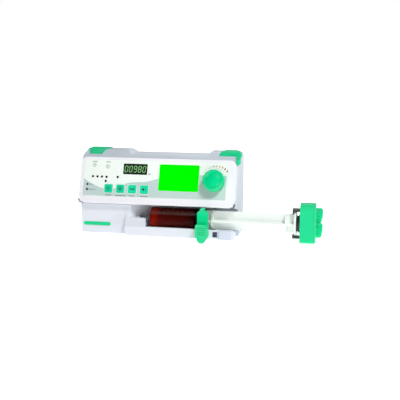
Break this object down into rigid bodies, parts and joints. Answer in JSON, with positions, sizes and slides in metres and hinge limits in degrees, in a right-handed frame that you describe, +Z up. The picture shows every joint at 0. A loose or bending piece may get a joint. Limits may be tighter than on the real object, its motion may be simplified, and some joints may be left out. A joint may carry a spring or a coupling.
{
  "type": "syringe infusion pump",
  "caption": "Bench syringe infusion pump with a leaning control panel, a loaded syringe in its front cradle, a clamp and a sliding pusher.",
  "frame": {"origin": "on the surface it stands on, midway across the case's width, 54.4 mm behind the panel's lower front edge", "axes": "+X towards the pusher end, -Y towards the operator, +Z up"},
  "size_m": [0.3349, 0.1996, 0.1181],
  "materials": {
    "white_plastic": "satin",
    "printed_overlay": "satin film",
    "lcd_green": "lit display",
    "dark_lens": "polished",
    "lamp_lens": "polished",
    "green_key": "satin",
    "green_plastic": "satin",
    "steel": "brushed",
    "black_plastic": "matte",
    "circuit_board": "solder mask",
    "grey_plastic": "fine texture",
    "light_grey_plastic": "fine texture",
    "lavender_plastic": "fine texture",
    "navy_plastic": "satin",
    "green_rubber": "matte",
    "black_rubber": "matte",
    "dark_steel": "blackened",
    "zinc_steel": "zinc plated",
    "black_metal": "satin",
    "brass": "machined",
    "nylon": "moulded",
    "chrome": "polished",
    "clear_barrel": "clear moulded",
    "plunger_white": "translucent moulded",
    "red_liquid": "liquid",
    "power_parts": "board with parts",
    "battery_sleeve": "shrink sleeve",
    "red_plastic": "satin",
    "cast_alloy": "powder coated"
  },
  "bodies": {
    "root": {"front_bezel": "white_plastic", "panel_overlay": "printed_overlay", "lcd_window": "lcd_green", "led_window": "dark_lens", "indicator_leds": "lamp_lens", "encoder_body": "black_plastic", "lcd_module": "circuit_board", "display_board": "circuit_board", "upper_housing": "grey_plastic", "front_cradle": "light_grey_plastic", "cradle_end_cap": "lavender_plastic", "flange_sensor": "navy_plastic", "badge": "green_plastic", "back_cover": "grey_plastic", "bottom_plate": "grey_plastic", "corner_cap_left": "green_rubber", "corner_cap_right": "green_rubber", "feet": "black_rubber", "case_screws": "dark_steel", "drive_chassis": "zinc_steel", "stepper_motor": "black_metal", "guide_rod": "steel", "screw_bearings": "steel", "tube_seal": "black_rubber", "clamp_spring": "steel", "syringe_barrel": "clear_barrel", "syringe_liquid": "red_liquid", "main_board": "circuit_board", "power_supply": "power_parts", "battery_pack": "battery_sleeve", "speaker": "black_plastic", "power_inlet": "black_plastic", "data_port": "zinc_steel", "pole_clamp_body": "cast_alloy"},
    "pusher": {"carriage": "nylon", "drive_tube": "chrome", "head_body": "green_plastic", "head_cover": "green_plastic", "pressure_plate": "black_plastic", "syringe_plunger": "plunger_white", "syringe_stopper": "black_rubber"},
    "clutch": {"clutch_knob": "green_plastic", "clutch_rod": "steel"},
    "upper_jaw": {"jaw_upper": "black_plastic"},
    "lower_jaw": {"jaw_lower": "black_plastic"},
    "nut": {"half_nut": "brass"},
    "screw": {"lead_screw": "steel", "screw_gear": "nylon"},
    "pinion": {"motor_pinion": "brass"},
    "clamp_slider": {"clamp_rod": "steel"},
    "clamp_lever": {"clamp_arm": "green_plastic"},
    "dial": {"encoder_knob": "green_plastic", "encoder_shaft": "steel"},
    "start_key": {"key_start": "green_key"},
    "stop_key": {"key_stop": "green_key"},
    "fast_key": {"key_fast": "green_key"},
    "mute_key": {"key_mute": "green_key"},
    "rocker": {"power_switch": "red_plastic"},
    "pole_pad": {"pole_clamp_pad": "black_rubber"},
    "pole_screw": {"pole_clamp_screw": "black_plastic"}
  },
  "joints": [
    {"name": "carriage_slide", "type": "slide", "parent": "root", "child": "pusher", "axis": [1, 0, 0], "range_m": [-0.062, 0], "deforming": ["syringe_liquid"]},
    {"name": "screw_spin", "type": "hinge", "parent": "root", "child": "screw", "pos_m": [0.02, 0.012, 0.025], "axis": [1, 0, 0], "range_deg": [-5585, 1]},
    {"name": "pinion_spin", "type": "hinge", "parent": "root", "child": "pinion", "pos_m": [-0.042, 0.012, 0.0418], "axis": [1, 0, 0], "range_deg": [-1, 16755]},
    {"name": "clutch_turn", "type": "hinge", "parent": "pusher", "child": "clutch", "pos_m": [0.214, -0.014, 0.025], "axis": [1, 0, 0], "range_deg": [0, 55], "stiffness_Nm_per_rad": 0.05},
    {"name": "upper_jaw_slide", "type": "slide", "parent": "pusher", "child": "upper_jaw", "axis": [0, 0, 1], "range_m": [0, 0.00401]},
    {"name": "lower_jaw_slide", "type": "slide", "parent": "pusher", "child": "lower_jaw", "axis": [0, 0, -1], "range_m": [0, 0.00241]},
    {"name": "half_nut_release", "type": "slide", "parent": "pusher", "child": "nut", "axis": [0, 1, 0], "range_m": [0, 0.0016]},
    {"name": "clamp_pull", "type": "slide", "parent": "root", "child": "clamp_slider", "axis": [0, -1, 0], "range_m": [0, 0.018], "stiffness_N_per_m": 60, "springref_m": -0.02, "deforming": ["clamp_spring"]},
    {"name": "clamp_turn", "type": "hinge", "parent": "clamp_slider", "child": "clamp_lever", "pos_m": [0.068, -0.06, 0.0095], "axis": [0, -1, 0], "range_deg": [0, 90]},
    {"name": "dial_turn", "type": "hinge", "parent": "root", "child": "dial", "pos_m": [0.0803, -0.04951, 0.08356], "axis": [0, -0.9432, 0.3322], "continuous": true},
    {"name": "start_press", "type": "slide", "parent": "root", "child": "start_key", "axis": [0, 0.9432, -0.3322], "range_m": [0, 0.0006], "stiffness_N_per_m": 600},
    {"name": "stop_press", "type": "slide", "parent": "root", "child": "stop_key", "axis": [0, 0.9432, -0.3322], "range_m": [0, 0.0006], "stiffness_N_per_m": 600},
    {"name": "fast_press", "type": "slide", "parent": "root", "child": "fast_key", "axis": [0, 0.9432, -0.3322], "range_m": [0, 0.0006], "stiffness_N_per_m": 600},
    {"name": "mute_press", "type": "slide", "parent": "root", "child": "mute_key", "axis": [0, 0.9432, -0.3322], "range_m": [0, 0.0006], "stiffness_N_per_m": 600},
    {"name": "rocker_flip", "type": "hinge", "parent": "root", "child": "rocker", "pos_m": [-0.0485, 0.055, 0.024], "axis": [1, 0, 0], "range_deg": [-16, 0]},
    {"name": "pole_travel", "type": "slide", "parent": "root", "child": "pole_pad", "axis": [0, -1, 0], "range_m": [-0.005, 0.009]},
    {"name": "pole_screw_turn", "type": "hinge", "parent": "pole_pad", "child": "pole_screw", "pos_m": [0.02, 0.11, 0.06], "axis": [0, -1, 0], "range_deg": [-1201, 2162]}
  ],
  "couplings": [
    {"joint": "screw_spin", "follows": "carriage_slide", "rad_per_m": 1570.8},
    {"joint": "pinion_spin", "follows": "carriage_slide", "rad_per_m": -4712.4},
    {"joint": "upper_jaw_slide", "follows": "clutch_turn", "m_per_rad": 0.004167},
    {"joint": "lower_jaw_slide", "follows": "clutch_turn", "m_per_rad": 0.0025},
    {"joint": "half_nut_release", "follows": "clutch_turn", "m_per_rad": 0.001667},
    {"joint": "pole_screw_turn", "follows": "pole_travel", "rad_per_m": 4188.8}
  ]
}
